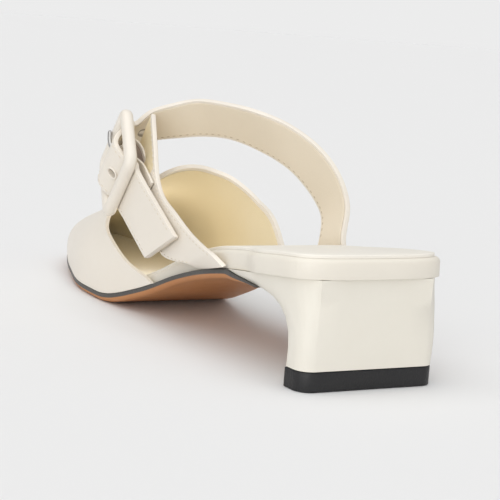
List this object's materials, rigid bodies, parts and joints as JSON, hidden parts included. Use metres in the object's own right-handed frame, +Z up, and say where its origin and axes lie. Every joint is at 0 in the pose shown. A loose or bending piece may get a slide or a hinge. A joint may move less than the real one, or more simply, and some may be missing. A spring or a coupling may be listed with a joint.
{
  "type": "mule shoe",
  "caption": "Left backless mule with a closed toe cut away at the sides, a block heel and an instep strap through a large covered buckle.",
  "frame": {"origin": "middle of the heel's resting face, on the surface that the shoe stands on", "axes": "+Y towards the toe, +X towards the inner side of this left shoe, +Z up"},
  "size_m": [0.0691, 0.2456, 0.0806],
  "materials": {
    "upper_leather": "smooth semi-gloss",
    "lining_leather": "smooth satin",
    "loop_leather": "smooth satin",
    "rim_leather": "smooth semi-gloss",
    "heel_cover": "smooth semi-gloss",
    "sole_leather": "smooth satin",
    "top_piece_rubber": "matte",
    "prong_metal": "satin"
  },
  "bodies": {
    "root": {"outsole": "sole_leather", "heel_block": "heel_cover", "heel_top_piece": "top_piece_rubber", "footbed": "rim_leather", "sock_lining": "lining_leather", "vamp": "upper_leather", "instep_strap": "upper_leather", "quarter_strap": "upper_leather", "buckle_loop": "loop_leather", "buckle_frame": "upper_leather", "buckle_prong": "prong_metal"}
  },
  "joints": []
}
